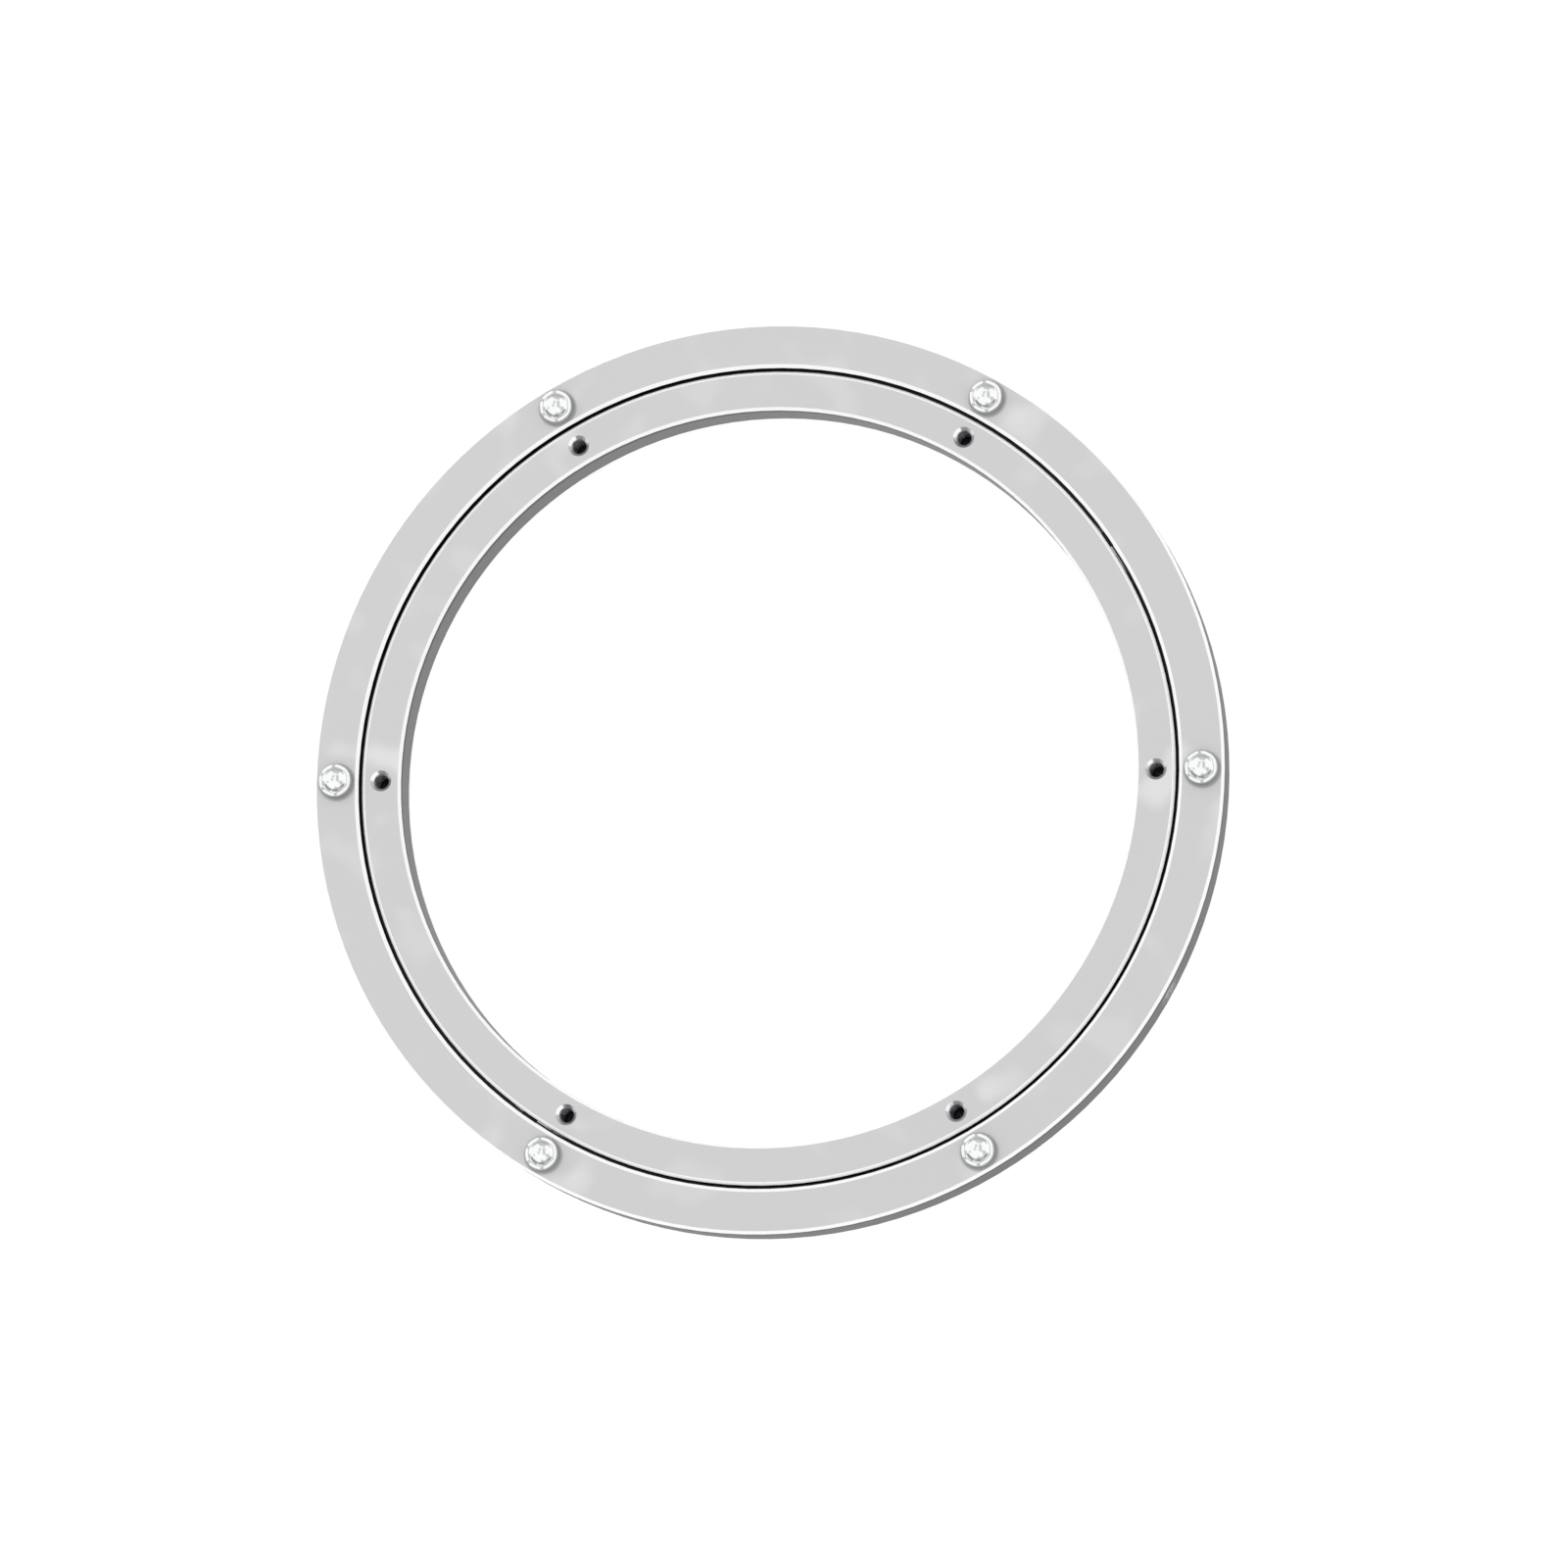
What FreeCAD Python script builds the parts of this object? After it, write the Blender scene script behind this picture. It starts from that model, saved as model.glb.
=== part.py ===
import FreeCAD, Part
import math
import os

from FreeCAD import Vector

# Lazy susan bearing: two turned aluminium rings that run on a caged train of steel balls.
# Sizes are in millimetres and angles in degrees. The origin is on the turning axis, on the surface
# that the feet stand on, with +Z up and +X through the first pad and the first foot.

# Rings
OUTER_DIAMETER = 250.0
OUTER_RING_WIDTH = 12.3
INNER_RING_WIDTH = 10.9
RING_HEIGHT = 12.0
RING_STEP = 0.5  # the outer ring stands this much higher than the inner ring, so neither rubs a board
RUNNING_GAP = 0.8
WALL_CHAMFER = 0.8
GAP_CHAMFER = 0.8

# Ball race, balls and cage
BALL_DIAMETER = 4.76
BALLS_PER_CAGE_SEGMENT = 6
CAGE_SEGMENT_COUNT = 6
CONTACT_ANGLE = 45.0  # of the line from a ball's centre to where it meets a flank, above or below level
BALL_CLEARANCE = 0.1  # from a ball to a flank along that line
FLANK_ARC_EXTRA = 0.22  # how much larger a flank's arc is than the ball with its clearance
POCKET_CLEARANCE = 0.12
CAGE_CLEARANCE = 0.15  # from the cage to the wall of each ring
CAGE_RIM = 1.0  # height of the cage above and below a pocket
CAGE_END_GAP = 0.5

# Tapped hole in the outer ring's wall, which the balls pass when the race is filled, and its set screw
FILLER_ANGLE = -28.5
FILLER_CLEARANCE = 0.6
PLUG_CLEARANCE = 0.02
PLUG_RECESS = 0.15

# Screw holes, each with a countersink in one face and a seat for a grip's stem in the other
HOLE_COUNT = 6
SCREW_HOLE_DIAMETER = 4.1
COUNTERSINK_DIAMETER = 5.8
COUNTERSINK_ANGLE = 90.0
STEM_SEAT_DIAMETER = 4.9
STEM_SEAT_DEPTH = 3.2

# Push-in grips: clear pads on the outer ring, and dark feet of the same form under the inner ring
GRIP_DIAMETER = 9.2
GRIP_HEIGHT = 2.0
GRIP_RIM_RADIUS = 0.7
STEM_CLEARANCE = 0.05
STEM_END_GAP = 0.25
STEM_LEAD_IN = 0.4

# Places that follow from the sizes above
OUTER_WALL_RADIUS = OUTER_DIAMETER / 2
OUTER_GAP_RADIUS = OUTER_WALL_RADIUS - OUTER_RING_WIDTH
INNER_GAP_RADIUS = OUTER_GAP_RADIUS - RUNNING_GAP
INNER_WALL_RADIUS = INNER_GAP_RADIUS - INNER_RING_WIDTH
BALL_CIRCLE_RADIUS = (OUTER_GAP_RADIUS + INNER_GAP_RADIUS) / 2
PAD_CIRCLE_RADIUS = (OUTER_WALL_RADIUS + OUTER_GAP_RADIUS) / 2
FOOT_CIRCLE_RADIUS = (INNER_WALL_RADIUS + INNER_GAP_RADIUS) / 2
INNER_RING_BOTTOM = GRIP_HEIGHT
OUTER_RING_BOTTOM = INNER_RING_BOTTOM + RING_STEP
OUTER_RING_TOP = OUTER_RING_BOTTOM + RING_HEIGHT
RACE_LEVEL = (INNER_RING_BOTTOM + OUTER_RING_TOP) / 2
BALL_RADIUS = BALL_DIAMETER / 2
BALL_COUNT = BALLS_PER_CAGE_SEGMENT * CAGE_SEGMENT_COUNT
BALL_PITCH_ANGLE = 360.0 / BALL_COUNT
HOLE_PITCH_ANGLE = 360.0 / HOLE_COUNT

ORIGIN = Vector(0, 0, 0)
RIGHT = Vector(1, 0, 0)
UP = Vector(0, 0, 1)
OVERCUT = 1.0  # how far a cutting tool runs past the face that it opens


def turned(shape, angle):
    """A copy of a shape, turned about the bearing's axis."""
    copy = shape.copy()
    copy.rotate(ORIGIN, UP, angle)
    return copy


def corners(points):
    """Points of a section, given as (radius, height)."""
    return [Vector(radius, 0, height) for radius, height in points]


def lathe(edges, angle=360.0):
    """A solid turned about the Z axis from the edges of a closed section."""
    return Part.Face(Part.Wire(edges)).revolve(ORIGIN, UP, angle)


def lathe_corners(points, angle=360.0):
    """A solid turned about the Z axis from a section with straight sides only."""
    section = corners(points)
    return lathe(Part.makePolygon(section + section[:1]).Edges, angle)


def race_point(side, level, arc, angle):
    """A point of a race flank, at an angle round the centre of the flank's arc.

    Side is 1 for the outer ring's race and -1 for the inner ring's. Level is 1 for the upper flank and
    -1 for the lower one. The arc's centre lies past the ball's centre, on the line to the contact.
    """
    contact = math.radians(CONTACT_ANGLE)
    out = arc * math.cos(angle) - FLANK_ARC_EXTRA * math.cos(contact)
    rise = arc * math.sin(angle) - FLANK_ARC_EXTRA * math.sin(contact)
    return Vector(BALL_CIRCLE_RADIUS + side * out, 0, RACE_LEVEL + level * rise)


def race_flank(side, level):
    """The arc of one flank of the pointed race, from its mouth at the gap to its root."""
    contact = math.radians(CONTACT_ANGLE)
    arc = BALL_RADIUS + BALL_CLEARANCE + FLANK_ARC_EXTRA
    mouth_angle = math.acos((RUNNING_GAP / 2 + FLANK_ARC_EXTRA * math.cos(contact)) / arc)
    root_angle = math.asin(FLANK_ARC_EXTRA * math.sin(contact) / arc)
    angles = (mouth_angle, contact, root_angle)
    mouth, middle, root = [race_point(side, level, arc, angle) for angle in angles]
    return Part.Arc(mouth, middle, root).toShape()


def ring_blank(wall_radius, gap_radius, bottom):
    """A ring with chamfered edges and its half of the race, before any hole is drilled."""
    top = bottom + RING_HEIGHT
    side = 1 if wall_radius > gap_radius else -1
    wall_edge = wall_radius - side * WALL_CHAMFER
    gap_edge = gap_radius + side * GAP_CHAMFER
    upper_flank = race_flank(side, 1)
    lower_flank = race_flank(side, -1)
    outside = corners([
        (gap_radius, bottom + GAP_CHAMFER),
        (gap_edge, bottom),
        (wall_edge, bottom),
        (wall_radius, bottom + WALL_CHAMFER),
        (wall_radius, top - WALL_CHAMFER),
        (wall_edge, top),
        (gap_edge, top),
        (gap_radius, top - GAP_CHAMFER),
    ])
    mouths = [lower_flank.firstVertex().Point, upper_flank.firstVertex().Point]
    straight = Part.makePolygon([mouths[0], *outside, mouths[1]]).Edges
    return lathe([*straight, upper_flank, lower_flank])


def screw_hole_tool():
    """The shape of one screw hole, with the seat's face at height 0 and the screw head's face above."""
    hole_radius = SCREW_HOLE_DIAMETER / 2
    seat_radius = STEM_SEAT_DIAMETER / 2
    sink_radius = COUNTERSINK_DIAMETER / 2
    sink_slope = math.tan(math.radians(COUNTERSINK_ANGLE / 2))
    sink_depth = (sink_radius - hole_radius) / sink_slope
    return lathe_corners([
        (0, -OVERCUT),
        (seat_radius, -OVERCUT),
        (seat_radius, STEM_SEAT_DEPTH),
        (hole_radius, STEM_SEAT_DEPTH),
        (hole_radius, RING_HEIGHT - sink_depth),
        (sink_radius + OVERCUT * sink_slope, RING_HEIGHT + OVERCUT),
        (0, RING_HEIGHT + OVERCUT),
    ])


def drilled(blank, tool, circle_radius):
    """A ring with the same tool cut out of it at each place of the hole pattern."""
    placed = tool.copy()
    placed.translate(Vector(circle_radius, 0, 0))
    tools = [turned(placed, number * HOLE_PITCH_ANGLE) for number in range(HOLE_COUNT)]
    return blank.cut(Part.makeCompound(tools))


def filler_bar(radius):
    """A round bar along the filler hole, from the ball circle out past the outer ring's wall."""
    start = Vector(BALL_CIRCLE_RADIUS, 0, RACE_LEVEL)
    length = OUTER_WALL_RADIUS - BALL_CIRCLE_RADIUS + OVERCUT
    return turned(Part.makeCylinder(radius, length, start, RIGHT), FILLER_ANGLE)


def outer_ring():
    """The turning ring: stem seats in its top, countersinks in its underside, filler hole in its wall."""
    tool = screw_hole_tool()
    tool.rotate(ORIGIN, RIGHT, 180)
    tool.translate(Vector(0, 0, OUTER_RING_TOP))
    blank = ring_blank(OUTER_WALL_RADIUS, OUTER_GAP_RADIUS, OUTER_RING_BOTTOM)
    ring = drilled(blank, tool, PAD_CIRCLE_RADIUS)
    return ring.cut(filler_bar(BALL_RADIUS + FILLER_CLEARANCE))


def inner_ring():
    """The fixed ring: countersinks in its top and stem seats in its underside."""
    tool = screw_hole_tool()
    tool.translate(Vector(0, 0, INNER_RING_BOTTOM))
    blank = ring_blank(INNER_WALL_RADIUS, INNER_GAP_RADIUS, INNER_RING_BOTTOM)
    return drilled(blank, tool, FOOT_CIRCLE_RADIUS)


def ball_filler_plug():
    """The set screw in the filler hole, whose inner end carries on the race that the hole cuts away."""
    bar = filler_bar(BALL_RADIUS + FILLER_CLEARANCE - PLUG_CLEARANCE)
    section = ring_blank(OUTER_WALL_RADIUS - PLUG_RECESS, OUTER_GAP_RADIUS, OUTER_RING_BOTTOM)
    return bar.common(section)


def grip():
    """A push-in grip: a flat head with a rounded rim above height 0, and a stem below it."""
    head_radius = GRIP_DIAMETER / 2
    stem_radius = STEM_SEAT_DIAMETER / 2 - STEM_CLEARANCE
    stem_length = STEM_SEAT_DEPTH - STEM_END_GAP
    rim_offset = GRIP_RIM_RADIUS * (1 - math.sqrt(0.5))
    rim_start, rim_middle, rim_end = corners([
        (head_radius, GRIP_HEIGHT - GRIP_RIM_RADIUS),
        (head_radius - rim_offset, GRIP_HEIGHT - rim_offset),
        (head_radius - GRIP_RIM_RADIUS, GRIP_HEIGHT),
    ])
    below = corners([
        (0, GRIP_HEIGHT),
        (0, -stem_length),
        (stem_radius - STEM_LEAD_IN, -stem_length),
        (stem_radius, STEM_LEAD_IN - stem_length),
        (stem_radius, 0),
        (head_radius, 0),
    ])
    straight = Part.makePolygon([rim_end, *below, rim_start]).Edges
    return lathe([*straight, Part.Arc(rim_start, rim_middle, rim_end).toShape()])


def pad():
    """The first pad, its head on the outer ring's top face and its stem down in the seat."""
    piece = grip()
    piece.translate(Vector(PAD_CIRCLE_RADIUS, 0, OUTER_RING_TOP))
    return piece


def foot():
    """The first foot, its head under the inner ring and its stem up in the seat."""
    piece = grip()
    piece.rotate(ORIGIN, RIGHT, 180)
    piece.translate(Vector(FOOT_CIRCLE_RADIUS, 0, INNER_RING_BOTTOM))
    return piece


def ball():
    """One ball on the +X side of the ball circle."""
    return Part.makeSphere(BALL_RADIUS, Vector(BALL_CIRCLE_RADIUS, 0, RACE_LEVEL))


def ball_angle(number):
    """Where a ball stands round the ball circle: the cage's joints lie midway between balls."""
    return (number + 0.5) * BALL_PITCH_ANGLE


def cage_segment():
    """The first strip of the cage, bent to the ball circle, with a round pocket for each of its balls."""
    pocket_radius = BALL_RADIUS + POCKET_CLEARANCE
    half_height = pocket_radius + CAGE_RIM
    inside = INNER_GAP_RADIUS + CAGE_CLEARANCE
    outside = OUTER_GAP_RADIUS - CAGE_CLEARANCE
    end_angle = math.degrees(CAGE_END_GAP / 2 / BALL_CIRCLE_RADIUS)
    section = [
        (inside, RACE_LEVEL - half_height),
        (outside, RACE_LEVEL - half_height),
        (outside, RACE_LEVEL + half_height),
        (inside, RACE_LEVEL + half_height),
    ]
    strip = lathe_corners(section, 360.0 / CAGE_SEGMENT_COUNT - 2 * end_angle)
    start = Vector(inside - OVERCUT, 0, RACE_LEVEL)
    length = outside - inside + 2 * OVERCUT
    pocket = Part.makeCylinder(pocket_radius, length, start, RIGHT)
    pockets = [turned(pocket, ball_angle(number)) for number in range(BALLS_PER_CAGE_SEGMENT)]
    return turned(strip, end_angle).cut(Part.makeCompound(pockets))


def pattern(name, shape, angles, digits=1):
    """A shape turned to each angle in a list, by node name."""
    return {f"{name}_{number:0{digits}d}": turned(shape, angle) for number, angle in enumerate(angles, 1)}


def pieces():
    """Every piece of the bearing, by node name."""
    hole_angles = [number * HOLE_PITCH_ANGLE for number in range(HOLE_COUNT)]
    segment_angles = [number * 360.0 / CAGE_SEGMENT_COUNT for number in range(CAGE_SEGMENT_COUNT)]
    ball_angles = [ball_angle(number) for number in range(BALL_COUNT)]
    return {
        "inner_ring": inner_ring(),
        "outer_ring": outer_ring(),
        "ball_filler_plug": ball_filler_plug(),
        **pattern("pad", pad(), hole_angles),
        **pattern("foot", foot(), hole_angles),
        **pattern("cage_segment", cage_segment(), segment_angles),
        **pattern("ball", ball(), ball_angles, digits=2),
    }


os.makedirs("parts", exist_ok=True)
for node, shape in pieces().items():
    shape.exportStep(f"parts/{node}.step")
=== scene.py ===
"""Looks of a flat lazy susan bearing: satin rings, clear grips, a black cage and steel balls."""

import logging
import math
from dataclasses import dataclass
from enum import Enum
from typing import Any, Mapping, Sequence, Union

import bmesh
import bpy
from mathutils import Matrix, Vector


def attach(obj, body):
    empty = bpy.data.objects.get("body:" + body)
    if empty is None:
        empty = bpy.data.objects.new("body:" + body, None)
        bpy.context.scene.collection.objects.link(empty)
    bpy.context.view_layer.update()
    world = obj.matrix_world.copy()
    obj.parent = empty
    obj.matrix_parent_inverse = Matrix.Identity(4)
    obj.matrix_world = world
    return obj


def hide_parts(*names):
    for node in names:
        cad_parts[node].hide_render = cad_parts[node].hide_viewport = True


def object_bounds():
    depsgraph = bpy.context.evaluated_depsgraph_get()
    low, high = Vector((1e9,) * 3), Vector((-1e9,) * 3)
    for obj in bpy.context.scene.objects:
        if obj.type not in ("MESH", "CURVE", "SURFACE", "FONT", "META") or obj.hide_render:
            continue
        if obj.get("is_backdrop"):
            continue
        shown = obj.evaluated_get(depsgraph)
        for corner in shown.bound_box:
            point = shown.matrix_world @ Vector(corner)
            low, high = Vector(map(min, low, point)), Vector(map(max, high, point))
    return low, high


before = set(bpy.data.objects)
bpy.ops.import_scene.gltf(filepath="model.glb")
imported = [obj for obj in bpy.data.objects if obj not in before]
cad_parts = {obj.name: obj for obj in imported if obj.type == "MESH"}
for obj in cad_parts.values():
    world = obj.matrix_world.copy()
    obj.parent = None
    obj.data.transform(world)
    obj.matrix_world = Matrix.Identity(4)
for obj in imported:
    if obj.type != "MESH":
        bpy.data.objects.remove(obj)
cad_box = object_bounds()

MM = 0.001
HOLE_COUNT = 6
HOLE_PITCH = math.tau / HOLE_COUNT
SCREW_ANGLE = math.radians(-28.5)
SHARP = 0.05
SOFT = 0.1

Colour = tuple[float, float, float, float]
Band = tuple[float, float]
Points = tuple[tuple[float, float], ...]
Number = Union[float, "Value"]
log = logging.getLogger("bearing")


def grey(level: float) -> Colour:
    """A neutral colour of one brightness."""
    return level, level, level, 1.0


class Value:
    """A number that varies over a surface: each operator adds one Math node to its board."""

    def __init__(self, board: "Board", socket: bpy.types.NodeSocket) -> None:
        """Keep an output socket and the board that it is on."""
        self.board = board
        self.socket = socket

    def __add__(self, other: Number) -> "Value":
        """Sum."""
        return self.board.math("ADD", self, other)

    def __radd__(self, other: Number) -> "Value":
        """Sum, with the plain number first."""
        return self.board.math("ADD", other, self)

    def __sub__(self, other: Number) -> "Value":
        """Difference."""
        return self.board.math("SUBTRACT", self, other)

    def __rsub__(self, other: Number) -> "Value":
        """Difference, with the plain number first."""
        return self.board.math("SUBTRACT", other, self)

    def __mul__(self, other: Number) -> "Value":
        """Product."""
        return self.board.math("MULTIPLY", self, other)

    def __rmul__(self, other: Number) -> "Value":
        """Product, with the plain number first."""
        return self.board.math("MULTIPLY", other, self)

    def __truediv__(self, other: Number) -> "Value":
        """Quotient."""
        return self.board.math("DIVIDE", self, other)

    def __rtruediv__(self, other: Number) -> "Value":
        """Quotient, with the plain number first."""
        return self.board.math("DIVIDE", other, self)

    def __abs__(self) -> "Value":
        """Size without sign."""
        return self.board.math("ABSOLUTE", self)

    def __round__(self) -> "Value":
        """Nearest whole number."""
        return self.board.math("ROUND", self)

    def sin(self) -> "Value":
        """Sine of an angle in radians."""
        return self.board.math("SINE", self)

    def cos(self) -> "Value":
        """Cosine of an angle in radians."""
        return self.board.math("COSINE", self)

    def step(self, low: float, high: float) -> "Value":
        """A smooth rise between two values.

        Args:
            low: Where the rise starts from 0.
            high: Where it reaches 1.

        Returns:
            The risen value, from 0 to 1.
        """
        settings = {"interpolation_type": "SMOOTHSTEP"}
        node = self.board.node("ShaderNodeMapRange", settings, {"Value": self, 1: low, 2: high})
        return Value(self.board, node.outputs[0])

    def below(self, low: float, high: float) -> "Value":
        """The reverse of a step: 1 under the low value and 0 over the high one."""
        return 1 - self.step(low, high)


class Board:
    """The node board of one material or of the world."""

    def __init__(self, owner: bpy.types.Material | bpy.types.World) -> None:
        """Clear the board of a new material or world.

        Args:
            owner: What the board belongs to.
        """
        owner.use_nodes = True
        self.owner = owner
        self.tree = owner.node_tree
        self.tree.nodes.clear()

    def node(
        self,
        kind: str,
        settings: Mapping[str, Any] | None = None,
        inputs: Mapping[Union[str, int], Any] | None = None,
    ) -> bpy.types.ShaderNode:
        """Add a node.

        Args:
            kind: The node's type.
            settings: Properties of the node, set first.
            inputs: Values or links of its sockets, by name or number.

        Returns:
            The new node.
        """
        node = self.tree.nodes.new(kind)
        for key, setting in (settings or {}).items():
            setattr(node, key, setting)
        for key, value in (inputs or {}).items():
            source = value.socket if isinstance(value, Value) else value
            if isinstance(source, bpy.types.NodeSocket):
                self.tree.links.new(source, node.inputs[key])
            else:
                node.inputs[key].default_value = source
        return node

    def math(self, operation: str, *operands: Number) -> Value:
        """Add a Math node.

        Args:
            operation: The node's operation.
            operands: Its values in order.

        Returns:
            Its result.
        """
        node = self.node("ShaderNodeMath", {"operation": operation}, dict(enumerate(operands)))
        return Value(self, node.outputs[0])

    def hypot(self, first: Value, second: Value) -> Value:
        """Length of a flat vector with these two parts."""
        return self.math("SQRT", first * first + second * second)

    def place(self) -> tuple[Value, Value, Value]:
        """The shaded point in the object's own axes, in millimetres."""
        split = self.node("ShaderNodeSeparateXYZ", inputs={0: self.point()})
        x, y, z = (Value(self, output) / MM for output in split.outputs)
        return x, y, z

    def point(self) -> bpy.types.NodeSocket:
        """The shaded point in the object's own axes, as a vector in metres."""
        return self.node("ShaderNodeTexCoord").outputs["Object"]

    def slope(self) -> Value:
        """How flat the surface lies: 1 on a level face and 0 on an upright wall."""
        normal = self.node("ShaderNodeNewGeometry").outputs["True Normal"]
        split = self.node("ShaderNodeSeparateXYZ", inputs={0: normal})
        return abs(Value(self, split.outputs[2]))

    def noise(self, size: float, detail: float = 2.0) -> Value:
        """Cloudy noise.

        Args:
            size: Size of a cloud, in millimetres.
            detail: Number of finer layers.

        Returns:
            The noise, about 0.5.
        """
        rate = 1 / (size * MM)
        vectors = {0: self.point(), 1: (rate, rate, rate)}
        scaled = self.node("ShaderNodeVectorMath", {"operation": "MULTIPLY"}, vectors)
        inputs = {"Vector": scaled.outputs[0], "Scale": 1.0, "Detail": detail}
        return Value(self, self.node("ShaderNodeTexNoise", inputs=inputs).outputs[0])

    def mix(self, mask: Number, first: Any, second: Any) -> bpy.types.NodeSocket:
        """Mix two colours.

        Args:
            mask: 0 for the first colour and 1 for the second.
            first: A colour or a link.
            second: A colour or a link.

        Returns:
            The mixed colour.
        """
        node = self.node("ShaderNodeMix", {"data_type": "RGBA"}, {0: mask, 6: first, 7: second})
        return node.outputs[2]

    def bump(self, height: Value, depth: float, strength: float) -> bpy.types.NodeSocket:
        """Raised and sunk texture.

        Args:
            height: The relief, about 0 to 1.
            depth: Its depth in millimetres.
            strength: Share of the relief that shows.

        Returns:
            The bent normal.
        """
        inputs = {"Strength": strength, "Distance": depth * MM, "Height": height}
        return self.node("ShaderNodeBump", inputs=inputs).outputs[0]

    def coat(self, inputs: Mapping[str, Any]) -> bpy.types.ShaderNode:
        """Add a surface shader with these sockets set."""
        return self.node("ShaderNodeBsdfPrincipled", inputs=inputs)

    def blend(
        self, share: Number, first: bpy.types.ShaderNode, second: bpy.types.ShaderNode
    ) -> bpy.types.ShaderNode:
        """Mix two shaders: 0 for the first and 1 for the second."""
        inputs = {0: share, 1: first.outputs[0], 2: second.outputs[0]}
        return self.node("ShaderNodeMixShader", inputs=inputs)

    def seen(self, *kinds: str) -> Value:
        """1 where a ray of one of the named kinds arrives, and 0 elsewhere."""
        path = self.node("ShaderNodeLightPath")
        first, *others = (Value(self, path.outputs[f"Is {kind} Ray"]) for kind in kinds)
        return self.math("MINIMUM", sum(others, first), 1.0)

    def finish(self, shader: bpy.types.ShaderNode) -> bpy.types.Material | bpy.types.World:
        """End the board on a shader and give back its owner."""
        kind = "World" if isinstance(self.owner, bpy.types.World) else "Material"
        self.node(f"ShaderNodeOutput{kind}", inputs={"Surface": shader.outputs[0]})
        return self.owner


def material_board(name: str) -> Board:
    """The board of a new material."""
    return Board(bpy.data.materials.new(name))


@dataclass(frozen=True)
class RingShape:
    """Sizes of one ring, in millimetres, as its finish needs them."""

    gap_radius: float
    side: int
    bottom: float
    hole_circle: float
    race_depth: float
    # Width of the band of face beside the gap that is painted white as highlight.
    gap_highlight_reach: float
    screw_angle: float | None = None
    height: float = 12.0
    race_reach: float = 2.7
    sink_radius: float = 2.9
    sink_depth: float = 0.85

    @property
    def middle(self) -> float:
        """Height of the ring's middle level."""
        return self.bottom + self.height / 2


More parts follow.
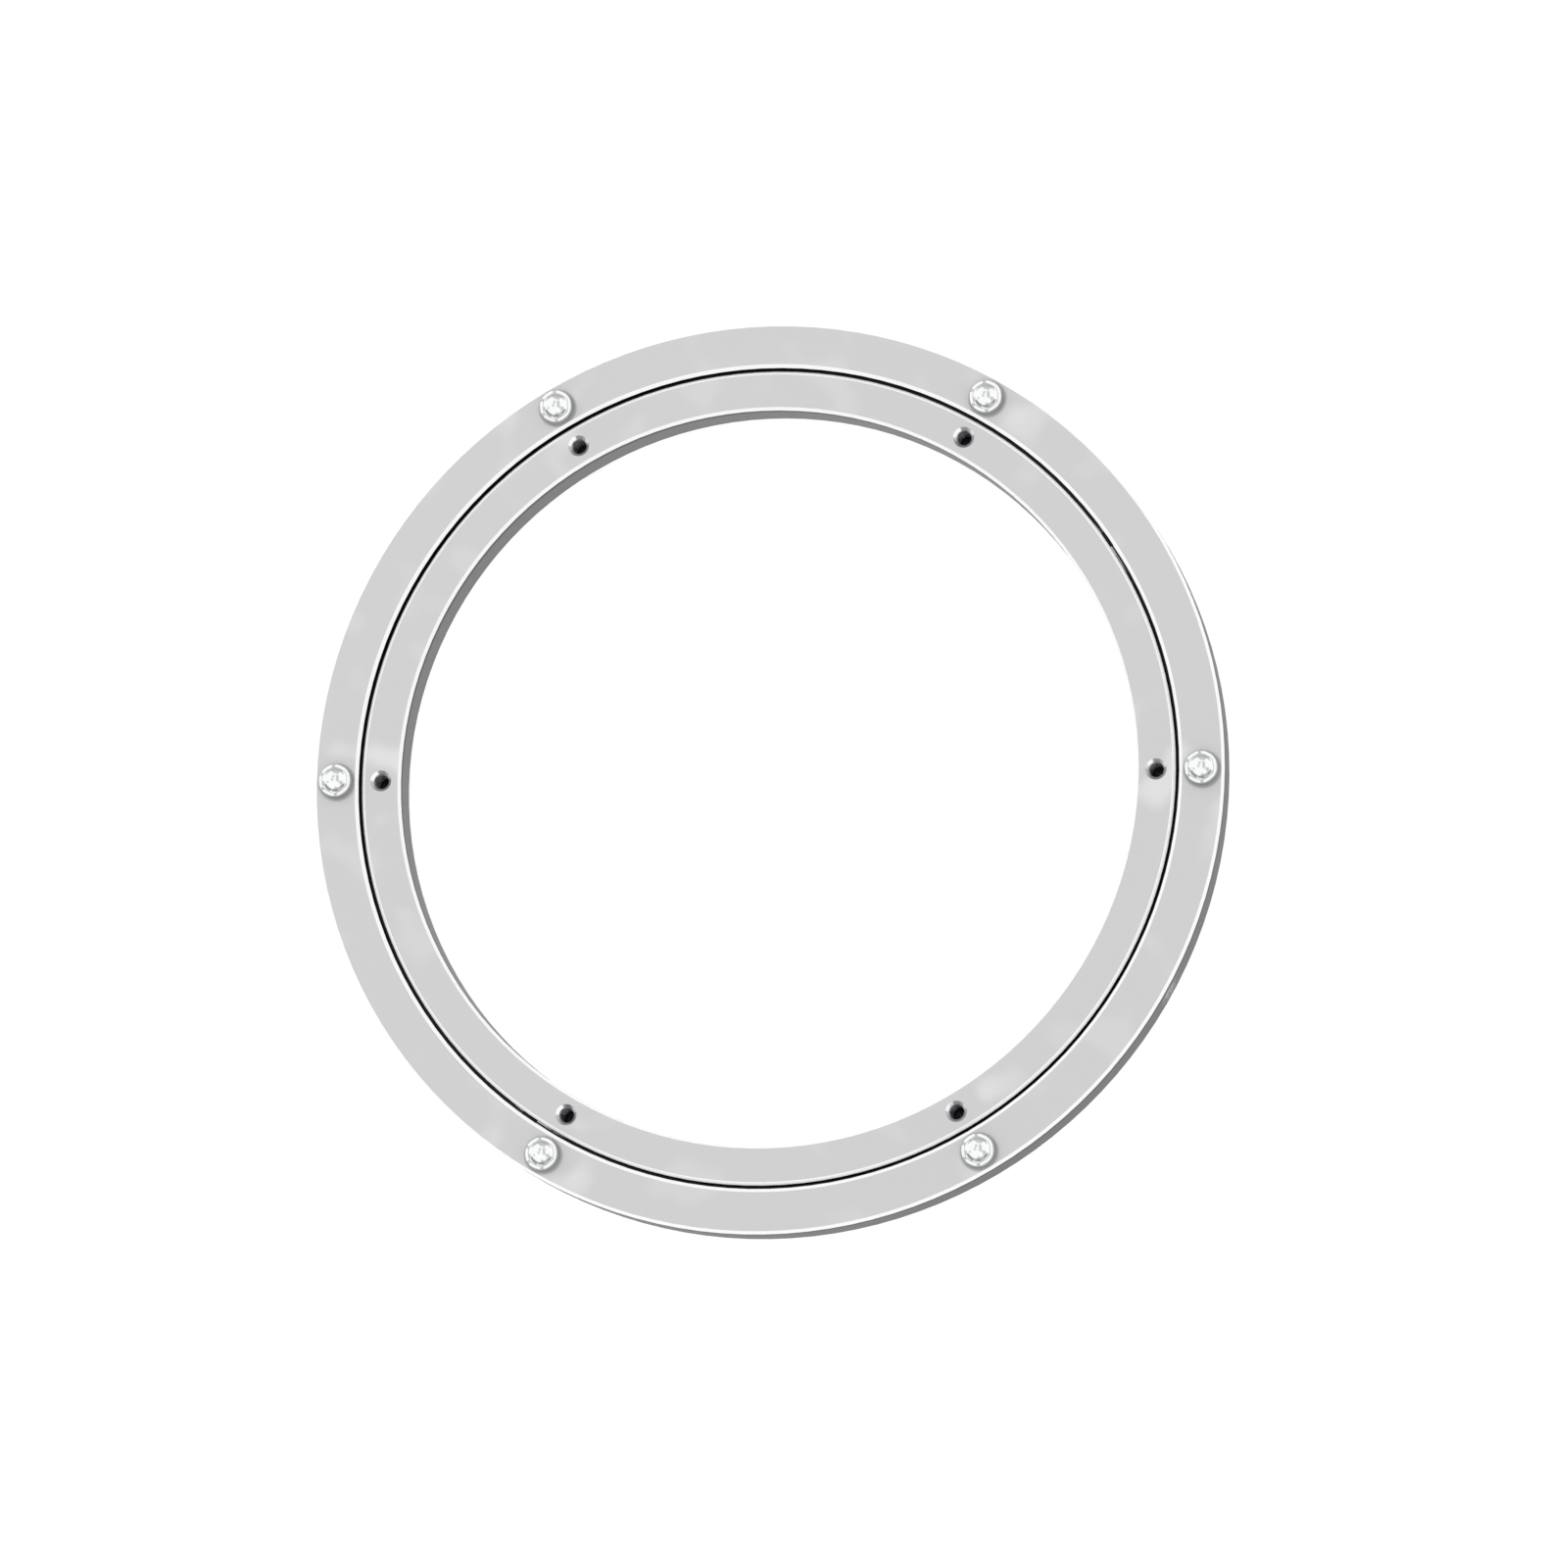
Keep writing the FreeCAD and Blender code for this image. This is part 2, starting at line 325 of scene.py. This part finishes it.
@dataclass(frozen=True)
class SatinAluminium:
    """Finish of the rings: even satin faces; bright-cut edges painted white as highlight; walls,
    race and bores painted darker as shade.

    Lengths are in millimetres. A band says where a change starts and where it ends.
    """

    # Grey of the upright walls, darker than the faces: painted shade.
    wall: float
    face: float = 0.657
    cloud: float = 0.78
    # White of the chamfers and of the band beside the gap: painted highlight on bright-cut edges.
    edge: float = 1.0
    # Grey of the countersinks, a little darker than the faces, and the darker grey on one side of
    # them: painted shade.
    sink: float = 0.55
    sink_shade: float = 0.3
    # Near black of the race and of the gap's walls: painted shade.
    race: Colour = (0.008, 0.008, 0.008, 1.0)
    # Darker, purplish grey of the screw holes' bores: painted shade.
    bore: Colour = (0.36, 0.345, 0.385, 1.0)
    drill_mark: Colour = (0.8, 0.79, 0.83, 1.0)
    # Darker grey round each grip, shifted to one side: painted shadow.
    grip_shadow: float = 0.43
    wall_slope: Band = (0.2, 0.4)
    bevel_slope: Band = (0.4, 0.6)
    level_slope: Band = (0.85, 0.95)
    bevel_depth: Band = (0.95, 1.05)
    # A darker band just under the walls' top edge: painted shade.
    line_depth: Band = (2.0, 3.2)
    line_level: float = 0.42
    ground_reach: Band = (3.2, 4.6)
    ground_level: float = 1.45
    cloud_size: float = 13.0
    cloud_band: Band = (0.54, 0.74)
    cloud_reach: Band = (5.0, 22.0)
    far_clouds: float = 0.3
    grip_shadow_turn: float = math.radians(50)
    grip_shadow_shift: float = 0.4
    grip_shadow_reach: Band = (4.75, 5.6)
    drill_size: float = 1.3
    drill_band: Band = (0.42, 0.66)
    # Place of the white painted highlight deep in each bore.
    bore_glint_turn: float = math.radians(135)
    bore_glint_width: Band = (0.88, 0.97)
    bore_glint_depth: Band = (3.4, 4.2)
    grain_size: float = 0.25
    cut_pitch: float = 0.22
    cut_share: float = 0.4
    chatter_size: float = 1.1
    chatter_share: float = 3.0
    relief_depth: float = 0.01
    relief_strength: float = 0.35
    metallic: float = 0.5
    edge_metallic: float = 0.35
    line_metallic: float = 0.45
    roughness: float = 0.5
    patch_size: float = 3.0
    patch_spread: float = 0.08
    polish: float = 0.22
    sheen: float = 0.15

    def material(self, name: str, shape: RingShape) -> bpy.types.Material:
        """Build the finish for one ring.

        Args:
            name: The material's name.
            shape: The ring's sizes.

        Returns:
            The material.
        """
        board = material_board(name)
        x, y, z = board.place()
        radius = board.hypot(x, y)
        rise = z - shape.middle
        depth = shape.height / 2 - abs(rise)
        inset = (radius - shape.gap_radius) * shape.side
        from_hole, round_hole = self.hole_place(board, x, y, shape.hole_circle)

        slope = board.slope()
        upright = slope.below(*self.wall_slope)
        level = slope.step(*self.level_slope)
        in_hole = from_hole.below(shape.sink_radius, shape.sink_radius + SHARP)
        bevel = slope.step(*self.bevel_slope) * (1 - level) * depth.below(*self.bevel_depth)
        # Chamfers, and a thin band of face beside the gap, are painted white: painted highlight.
        gap_highlight = level * inset.below(shape.gap_highlight_reach, shape.gap_highlight_reach + SHARP)
        edge = bevel * (1 - in_hole) + gap_highlight
        sink = bevel * in_hole
        bore = in_hole * depth.step(shape.sink_depth, shape.sink_depth + SHARP)
        # The race and the walls of the gap between the rings are painted near black as shade.
        race = inset.below(shape.race_reach, shape.race_reach + SOFT)
        race = race * depth.step(shape.race_depth, shape.race_depth + SOFT)
        # Darker band under the top edge of the walls: painted shade.
        line = depth.below(*self.line_depth) * rise.step(0, 1)

        # The walls' darker grey is painted shade.
        wall = grey(self.wall)
        if shape.screw_angle is not None:
            along = (board.math("ARCTAN2", y, x) - shape.screw_angle) * radius
            ground = board.hypot(along, rise).below(*self.ground_reach)
            wall = board.mix(ground, wall, grey(self.wall * self.ground_level))
        wall = board.mix(line, wall, grey(self.wall * self.line_level))
        grip_side = (rise * shape.side).step(0, 1)
        face = self.face_colour(board, from_hole, round_hole, grip_side)
        colour = board.mix(upright, face, wall)
        colour = board.mix(edge, colour, grey(self.edge))
        colour = board.mix(sink, colour, self.sink_colour(board, round_hole))
        colour = board.mix(race, colour, self.race)
        colour = board.mix(bore, colour, self.bore_colour(board, round_hole, depth))

        cuts = (radius * (math.tau / self.cut_pitch)).sin() * 0.5 + 0.5
        chatter = board.noise(self.chatter_size, 1.0) * sink * self.chatter_share
        relief = board.noise(self.grain_size) + cuts * upright * self.cut_share + chatter
        bare = board.math("MAXIMUM", race, sink) * (1 - self.metallic)
        patches = (board.noise(self.patch_size) - 0.5) * self.patch_spread
        covered = edge * self.edge_metallic + line * upright * self.line_metallic
        surface = board.coat({
            "Base Color": colour,
            "Metallic": self.metallic + bare - covered,
            "Roughness": self.roughness + patches - (sink + edge) * self.polish,
            "Specular IOR Level": self.sheen,
            "Normal": board.bump(relief, self.relief_depth, self.relief_strength),
        })
        return board.finish(surface)

    def face_colour(
        self, board: Board, from_hole: Value, round_hole: Value, grip_side: Value
    ) -> bpy.types.NodeSocket:
        """Colour of the level faces: faint clouds, and a painted shadow ring round each grip,
        shifted to one side.

        Args:
            board: The finish's board.
            from_hole: Distance from the nearest hole, in millimetres.
            round_hole: Direction from it, in radians.
            grip_side: 1 on the face that carries the grips.

        Returns:
            The colour.
        """
        near = from_hole.below(*self.cloud_reach) * (1 - self.far_clouds) + self.far_clouds
        clouds = board.noise(self.cloud_size, 0.5).step(*self.cloud_band) * near
        face = board.mix(clouds, grey(self.face), grey(self.cloud))
        # A dark ring round each grip, shifted to one side: painted shadow.
        off_grip = from_hole - (round_hole + self.grip_shadow_turn).cos() * self.grip_shadow_shift
        grip_shadow_mask = off_grip.below(*self.grip_shadow_reach) * grip_side
        return board.mix(grip_shadow_mask, face, grey(self.grip_shadow))

    def bore_colour(self, board: Board, direction: Value, depth: Value) -> bpy.types.NodeSocket:
        """Colour inside a screw hole: a darker colour as painted shade, drill marks, and a white
        painted highlight deep on one side.

        Args:
            board: The finish's board.
            direction: Direction from the hole's centre line, in radians.
            depth: Depth under the nearer face, in millimetres.

        Returns:
            The colour.
        """
        marks = board.noise(self.drill_size, 1.0).step(*self.drill_band)
        drilled = board.mix(marks, self.bore, self.drill_mark)
        # White patch deep on one side of every bore: painted highlight.
        bore_glint = (direction - self.bore_glint_turn).cos().step(*self.bore_glint_width)
        return board.mix(bore_glint * depth.step(*self.bore_glint_depth), drilled, grey(1.0))

    def sink_colour(self, board: Board, direction: Value) -> bpy.types.NodeSocket:
        """Colour round a countersink, painted a little darker than the face as shade: a painted
        highlight as a crescent and as a spot, and painted shade between them.

        Args:
            board: The finish's board.
            direction: Direction from the hole's centre line, in radians.

        Returns:
            The colour.
        """
        # A white crescent and a white spot on the same sides of every hole: painted highlight.
        crescent = (direction - math.radians(145)).cos().step(0.78, 0.9)
        spot = (direction - math.radians(30)).cos().step(0.955, 0.985)
        # A darker patch between them: painted shade.
        shade = (direction - math.radians(85)).cos().step(0.88, 0.97)
        around = board.mix(shade, grey(self.sink), grey(self.sink_shade))
        return board.mix(board.math("MAXIMUM", crescent, spot), around, grey(1.0))

    @staticmethod
    def hole_place(board: Board, x: Value, y: Value, hole_circle: float) -> tuple[Value, Value]:
        """Where a point lies from the nearest screw hole's centre line.

        Args:
            board: The finish's board.
            x: Place along X, in millimetres.
            y: Place along Y, in millimetres.
            hole_circle: Radius of the circle of holes, in millimetres.

        Returns:
            The distance in millimetres and the direction in radians.
        """
        centre = round(board.math("ARCTAN2", y, x) / HOLE_PITCH) * HOLE_PITCH
        across = x - centre.cos() * hole_circle
        along = y - centre.sin() * hole_circle
        return board.hypot(across, along), board.math("ARCTAN2", along, across)


@dataclass(frozen=True)
class ClearSilicone:
    """Finish of the pads: clear silicone, with white strokes painted round its rim as highlight.

    Lengths are in millimetres from the pad's middle. A band says where a change starts and ends.
    """

    # White of the strokes and of the inside: painted highlight. Grey of the arcs, painted as the
    # hole seen through the pad, and of the rim: painted shade.
    body: Colour = (0.96, 0.97, 0.97, 1.0)
    shade: Colour = (0.45, 0.46, 0.46, 1.0)
    wall: Band = (4.3, 4.45)
    corner_radius: float = 4.15
    corner_turn: float = math.radians(95)
    roundness: float = 0.58
    stroke_width: Band = (0.3, 0.5)
    gap_angle: Band = (0.07, 0.15)
    gap_side: Band = (1.0, 1.8)
    gap_share: float = 0.6
    lower_radius: float = 2.8
    lower_width: Band = (0.15, 0.55)
    lower_side: Band = (-1.3, -0.5)
    break_size: float = 1.4
    break_band: Band = (0.36, 0.56)
    unbroken: float = 0.35
    upper_radius: float = 3.0
    upper_width: Band = (0.08, 0.35)
    upper_side: Band = (1.2, 2.0)
    dimple_size: float = 2.1
    dimple_band: Band = (0.47, 0.6)
    inside_band: Band = (0.4, 0.7)
    least_milk: float = 0.12
    rim_milk: float = 0.3
    rim_shade: float = 0.8
    ripple_size: float = 1.8
    ripple_depth: float = 0.15
    ior: float = 1.41

    def material(self) -> bpy.types.Material:
        """Build the finish."""
        board = material_board("clear_silicone")
        x, y, _ = board.place()
        radius = board.hypot(x, y)
        line, from_corner = self.outline(board, x, y)
        wall = radius.step(*self.wall)
        rim = board.math("MAXIMUM", (radius - line).step(*self.stroke_width), wall)
        gap = from_corner.below(*self.gap_angle) * x.below(*self.gap_side) * self.gap_share
        # White strokes round the rim: painted highlight.
        stroke_highlights = abs(radius - line).below(*self.stroke_width) * (1 - gap) * (1 - wall)

        inside = (line - radius).step(*self.inside_band)
        dimple = board.noise(self.dimple_size, 1.0).step(*self.dimple_band)
        broken = board.noise(self.break_size, 0.5).step(*self.break_band)
        # Grey arcs painted as the hole's edge seen through the pad.
        lower_arc = abs(radius - self.lower_radius).below(*self.lower_width)
        lower_arc = lower_arc * y.below(*self.lower_side)
        lower_arc = lower_arc * (self.unbroken + broken * (1 - self.unbroken))
        upper_arc = abs(radius - self.upper_radius).below(*self.upper_width)
        upper_arc = upper_arc * y.step(*self.upper_side)
        # The white inside stands for light within the clear pad: painted highlight, with a little
        # real milky haze everywhere.
        milk_and_highlight = inside * (1 - lower_arc * 0.7 - upper_arc * 0.5) * (1 - dimple * 0.4)
        milk_and_highlight = milk_and_highlight + self.least_milk + rim * self.rim_milk
        shade = board.math("MAXIMUM", lower_arc + upper_arc * 0.4, dimple * inside * 0.6)
        # The rim outside the strokes is greyed: painted shade.
        shade = board.math("MAXIMUM", shade, rim * self.rim_shade)

        colour = board.mix(shade, self.body, self.shade)
        ripples = board.noise(self.ripple_size, 0.5) * (1 - rim)
        clear = board.coat({
            "Base Color": colour,
            "Roughness": 0.06 + rim * 0.4,
            "IOR": self.ior,
            "Transmission Weight": 0.8,
            "Coat Weight": 0.4,
            "Normal": board.bump(ripples, self.ripple_depth, 0.4),
        })
        milk_and_highlight_coat = board.coat({
            "Base Color": colour,
            "Roughness": 0.2,
            "IOR": self.ior,
            "Coat Weight": 0.6,
        })
        return board.finish(board.blend(board.math("MAXIMUM", stroke_highlights, milk_and_highlight), clear, milk_and_highlight_coat))

    def outline(self, board: Board, x: Value, y: Value) -> tuple[Value, Value]:
        """The line of the painted highlight strokes on the rim: a hexagon with bowed sides.

        Args:
            board: The finish's board.
            x: Place along X, in millimetres.
            y: Place along Y, in millimetres.

        Returns:
            The line's radius in millimetres, and the angle from its nearest corner in radians.
        """
        pitch = math.tau / 6
        angle = (board.math("ARCTAN2", y, x) - self.corner_turn) / pitch
        from_corner = abs(angle - round(angle)) * pitch
        side = math.cos(pitch / 2) / (pitch / 2 - from_corner).cos()
        line = self.corner_radius * (self.roundness + (1 - self.roundness) * side)
        return line, from_corner


@dataclass(frozen=True)
class PlainFinish:
    """A finish of one colour with fine grain and faint handling marks."""

    name: str
    colour: Colour
    metallic: float
    roughness: float
    grain: float
    coat: float = 0.0
    mark_size: float = 4.0
    mark_detail: float = 3.0
    mark_band: Band = (0.35, 0.75)
    mark_gain: float = 1.25
    mark_lift: float = 0.004
    mark_roughness: float = 0.12
    grain_depth: float = 0.008
    grain_strength: float = 0.4

    def material(self) -> bpy.types.Material:
        """Build the finish."""
        board = material_board(self.name)
        marks = board.noise(self.mark_size, self.mark_detail)
        red, green, blue = (
            min(1.0, part * self.mark_gain + self.mark_lift) for part in self.colour[:3]
        )
        grain = board.noise(self.grain)
        surface = board.coat({
            "Base Color": board.mix(
                marks.step(*self.mark_band), self.colour, (red, green, blue, 1.0)
            ),
            "Metallic": self.metallic,
            "Roughness": self.roughness + (marks - 0.5) * self.mark_roughness,
            "Coat Weight": self.coat,
            "Normal": board.bump(grain, self.grain_depth, self.grain_strength),
        })
        return board.finish(surface)


@dataclass(frozen=True)
class ScrewAluminium:
    """Finish of the set screw in the wall: paler than the ring, with two dark punch marks.

    Each mark is given by its place along the wall and its height, in millimetres.
    """

    wall_radius: float = 125.0
    marks: Points = ((-0.3, 6.7), (-2.1, 7.2))
    mark_edge: Band = (0.25, 0.55)
    mark_squash: float = 0.42
    mark_level: float = 0.08
    low: float = 0.25
    high: float = 0.3

    def material(self) -> bpy.types.Material:
        """Build the finish."""
        board = material_board("plug_aluminium")
        x, y, z = board.place()
        along = (board.math("ARCTAN2", y, x) - SCREW_ANGLE) * self.wall_radius
        patches = board.noise(1.8).step(0.4, 0.7)
        colour = board.mix(patches, grey(self.low), grey(self.high))
        for place, height in self.marks:
            off_mark = board.hypot(along - place, (z - height) * self.mark_squash)
            mark = off_mark.below(*self.mark_edge)
            colour = board.mix(mark, colour, grey(self.mark_level))
        surface = board.coat({
            "Base Color": colour,
            "Metallic": 0.9,
            "Roughness": 0.4 + (board.noise(0.6) - 0.5) * 0.1,
            "Normal": board.bump(board.noise(0.3), 0.01, 0.4),
        })
        return board.finish(surface)


def dress(node: str, material: bpy.types.Material) -> None:
    """Give a carried-over solid its finish."""
    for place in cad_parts[node].material_slots:
        place.material = material


def lathe_mesh(
    name: str, profile: Sequence[tuple[float, float]], segments: int
) -> bpy.types.Mesh:
    """A mesh turned about the Z axis.

    Args:
        name: The mesh's name.
        profile: Points as (radius, height) in millimetres; the first and last lie on the axis.
        segments: Number of steps round the axis.

    Returns:
        The smooth-shaded mesh.
    """
    shape = bmesh.new()
    ends = [shape.verts.new((0, 0, height * MM)) for _, height in (profile[0], profile[-1])]
    rings = []
    angles = [math.tau * number / segments for number in range(segments)]
    turns = [(math.cos(angle), math.sin(angle)) for angle in angles]
    for radius, height in profile[1:-1]:
        places = [Vector((radius * across, radius * along, height)) * MM for across, along in turns]
        rings.append([shape.verts.new(place) for place in places])
    for number in range(segments):
        following = (number + 1) % segments
        shape.faces.new((ends[0], rings[0][number], rings[0][following]))
        shape.faces.new((ends[1], rings[-1][following], rings[-1][number]))
        for upper, lower in zip(rings, rings[1:]):
            shape.faces.new((upper[number], lower[number], lower[following], upper[following]))
    bmesh.ops.recalc_face_normals(shape, faces=shape.faces)
    mesh = bpy.data.meshes.new(name)
    shape.to_mesh(mesh)
    shape.free()
    mesh.shade_smooth()
    return mesh


@dataclass
class GripSet:
    """Six push-in grips: a soft dished head with a rounded rim, and a stem with a moulding nib.

    The section's tables are in millimetres: the dish by radius and depth under the top, the foot
    by distance inside the head's wall and height, the neck by distance outside the stem and
    height, the tip by distance inside the stem and height over its end, and the nib by radius
    and height over the stem's end.
    """

    family: str
    body: str
    circle: float
    level: float
    upside_down: bool
    slot: str
    head_radius: float = 4.6
    head_height: float = 2.0
    rim_radius: float = 0.7
    stem_radius: float = 2.4
    stem_length: float = 2.95
    segments: int = 64
    dish: Points = ((0, 0.16), (1.2, 0.15), (2.2, 0.11), (2.9, 0.04), (3.4, 0.005))
    foot: Points = ((0.0, 0.12), (0.05, 0.03), (0.15, 0.0))
    neck: Points = ((0.08, 0.0), (0.0, 0.0), (0.0, -0.08))
    tip: Points = ((0.0, 0.6), (0.4, 0.3))
    nib: Points = ((0.85, 0.3), (0.6, 0.14), (0.3, 0.035), (0, 0.0))

    def profile(self) -> list[tuple[float, float]]:
        """The grip's section from the middle of its head to the end of its stem."""
        top, rim, length = self.head_height, self.rim_radius, self.stem_length
        centre = self.head_radius - rim
        turns = [math.radians(degrees) for degrees in range(90, -1, -15)]
        return [
            *((radius, top - depth) for radius, depth in self.dish),
            *((centre + rim * math.cos(a), top - rim + rim * math.sin(a)) for a in turns),
            *((self.head_radius - inside, height) for inside, height in self.foot),
            *((self.stem_radius + outside, height) for outside, height in self.neck),
            *((self.stem_radius - inside, height - length) for inside, height in self.tip),
            *((radius, height - length) for radius, height in self.nib),
        ]

    def build(self, material: bpy.types.Material) -> None:
        """Make the grips and put them on their body.

        Args:
            material: The grips' finish.
        """
        mesh = lathe_mesh(f"{self.family}_form", self.profile(), self.segments)
        mesh.materials.append(material)
        for number in range(HOLE_COUNT):
            angle = number * HOLE_PITCH
            across, along = self.circle * math.cos(angle), self.circle * math.sin(angle)
            piece = bpy.data.objects.new(f"soft_{self.family}_{number + 1}", mesh)
            bpy.context.scene.collection.objects.link(piece)
            piece.location = Vector((across, along, self.level)) * MM
            piece.rotation_euler = (math.pi if self.upside_down else 0, 0, 0)
            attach(piece, self.body)
            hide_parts(f"{self.family}_{number + 1}")
            self.slot
        log.info("%s: %d grips", self.family, HOLE_COUNT)


@dataclass
class FixedRing:
    """The inner ring and the six feet under it."""

    # Grey of this ring's walls: painted shade.
    wall: float = 0.2
    shape: RingShape = RingShape(
        gap_radius=111.9, side=-1, bottom=2.0, hole_circle=106.45,
        race_depth=0.6, gap_highlight_reach=1.0,
    )
    rubber: PlainFinish = PlainFinish(
        "dark_rubber", (0.030, 0.028, 0.034, 1.0), metallic=0.0, roughness=0.3, grain=0.9,
        coat=1.0,
    )

    def build(self) -> None:
        """Dress the ring and make its feet."""
        finish = SatinAluminium(wall=self.wall)
        dress("inner_ring", finish.material("satin_inner_ring", self.shape))
        log.info("inner_ring: dressed")
        circle, bottom = self.shape.hole_circle, self.shape.bottom
        feet = GripSet("foot", "fixed_ring", circle, bottom, True, "dark_rubber")
        feet.build(self.rubber.material())


@dataclass
class TurningRing:
    """The outer ring, the plug in its wall and the six pads on it."""

    # Grey of this ring's walls: painted shade.
    wall: float = 0.145
    shape: RingShape = RingShape(
        gap_radius=112.7, side=1, bottom=2.5, hole_circle=118.85,
        race_depth=0.72, gap_highlight_reach=0.9, screw_angle=SCREW_ANGLE,
    )

    def build(self) -> None:
        """Dress the ring and its plug, and make its pads."""
        finish = SatinAluminium(wall=self.wall)
        dress("outer_ring", finish.material("satin_outer_ring", self.shape))
        dress("ball_filler_plug", ScrewAluminium().material())
        log.info("outer_ring and ball_filler_plug: dressed")
        circle, top = self.shape.hole_circle, self.shape.bottom + self.shape.height
        pads = GripSet("pad", "turning_ring", circle, top, False, "clear_silicone")
        pads.build(ClearSilicone().material())


@dataclass
class BallTrain:
    """The six cage strips and the balls in their pockets."""

    strips: int = 6
    balls: int = 36
    nylon: PlainFinish = PlainFinish(
        "cage_nylon", (0.012, 0.012, 0.014, 1.0), metallic=0.0, roughness=0.55, grain=0.4
    )
    steel: PlainFinish = PlainFinish(
        "ball_steel", (0.62, 0.63, 0.65, 1.0), metallic=1.0, roughness=0.12, grain=0.8
    )

    def build(self) -> None:
        """Dress every strip and ball."""
        nylon, steel = self.nylon.material(), self.steel.material()
        for number in range(self.strips):
            dress(f"cage_segment_{number + 1}", nylon)
        for number in range(self.balls):
            dress(f"ball_{number + 1:02d}", steel)
        log.info("ball train: %d strips and %d balls dressed", self.strips, self.balls)


class Lamp(Enum):
    """The studio's lamp: place and width in metres, and power in watts."""

    KEY = ((-3.8, 3.3, 3.1), 3.2, 36.0)


@dataclass
class Studio:
    """A white floor, an even white surround, one soft lamp and the camera.

    The floor's size and the camera's distance are in metres, its aim in millimetres, and its
    tilt from straight above, heading and roll in degrees.
    """

    lens: float = 200.0
    distance: float = 2.3625
    tilt: float = 14.0
    heading: float = -45.0
    roll: float = 0.85
    aim: tuple[float, float, float] = (1.03, -1.26, 7.0)
    far_limit: float = 50.0
    floor_size: float = 12.0
    floor_cells: int = 8
    paper: float = 0.9
    glow: float = 1.35
    glow_share: float = 0.55
    horizon: float = 1.05
    zenith: float = 0.9
    sky_band: Band = (0.2, 0.9)

    def build(self) -> None:
        """Make the floor, the surround, the lamp and the camera."""
        self.floor()
        self.world()
        for lamp in Lamp:
            self.lamp(lamp)
        self.camera()
        bpy.context.scene.view_settings.view_transform = "Standard"
        log.info("studio: built")

    def floor(self) -> None:
        """A white floor that keeps the object's shadow."""
        shape = bmesh.new()
        cells, half = self.floor_cells, self.floor_size / 2
        bmesh.ops.create_grid(shape, x_segments=cells, y_segments=cells, size=half)
        mesh = bpy.data.meshes.new("floor")
        shape.to_mesh(mesh)
        shape.free()
        board = material_board("white_floor")
        seen = board.seen("Camera", "Glossy", "Transmission")
        paper = board.node("ShaderNodeBsdfDiffuse", inputs={"Color": grey(self.paper)})
        light = {"Color": grey(1.0), "Strength": self.glow}
        glow = board.node("ShaderNodeEmission", inputs=light)
        mesh.materials.append(board.finish(board.blend(seen * self.glow_share, paper, glow)))
        piece = bpy.data.objects.new("floor", mesh)
        bpy.context.scene.collection.objects.link(piece)
        piece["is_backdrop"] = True

    def world(self) -> None:
        """A soft surround, brighter at the sides than overhead, and white to the camera."""
        board = Board(bpy.data.worlds.new("surround"))
        direction = board.node("ShaderNodeTexCoord").outputs["Generated"]
        split = board.node("ShaderNodeSeparateXYZ", inputs={0: direction})
        height = Value(board, split.outputs[2]).step(*self.sky_band)
        light = self.horizon - height * (self.horizon - self.zenith)
        seen = board.seen("Camera")
        inputs = {"Color": grey(1.0), "Strength": light * (1 - seen) + seen}
        glow = board.node("ShaderNodeBackground", inputs=inputs)
        bpy.context.scene.world = board.finish(glow)

    def lamp(self, lamp: Lamp) -> None:
        """Make one square soft lamp that faces the object."""
        place, size, power = lamp.value
        data = bpy.data.lights.new(f"{lamp.name.lower()}_lamp", "AREA")
        data.size, data.energy = size, power
        piece = bpy.data.objects.new(data.name, data)
        piece.location = place
        piece.rotation_mode = "QUATERNION"
        piece.rotation_quaternion = Vector(place).to_track_quat("Z", "Y")
        bpy.context.scene.collection.objects.link(piece)

    def camera(self) -> None:
        """Make the camera at the photograph's viewing angle."""
        tilt, heading, roll = map(math.radians, (self.tilt, self.heading, self.roll))
        flat = math.sin(tilt)
        back = Vector((flat * math.cos(heading), flat * math.sin(heading), math.cos(tilt)))
        right = Vector((0, 1, 0)).cross(back).normalized()
        level = Matrix((right, back.cross(right), back)).transposed()
        data = bpy.data.cameras.new("camera")
        data.lens = self.lens
        data.clip_end = self.far_limit
        piece = bpy.data.objects.new("camera", data)
        piece.location = Vector(self.aim) * MM + back * self.distance
        piece.rotation_mode = "QUATERNION"
        piece.rotation_quaternion = (level @ Matrix.Rotation(roll, 3, "Z")).to_quaternion()
        bpy.context.scene.collection.objects.link(piece)
        bpy.context.scene.camera = piece


def main() -> None:
    """Build the studio and dress each sub-assembly in order."""
    logging.basicConfig(level=logging.INFO, format="%(message)s")
    Studio().build()
    FixedRing().build()
    TurningRing().build()
    BallTrain().build()
    boxes = {"cad": cad_box, "visual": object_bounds()}
    {name: [list(corner) for corner in box] for name, box in boxes.items()}


if __name__ == "__main__":
    main()
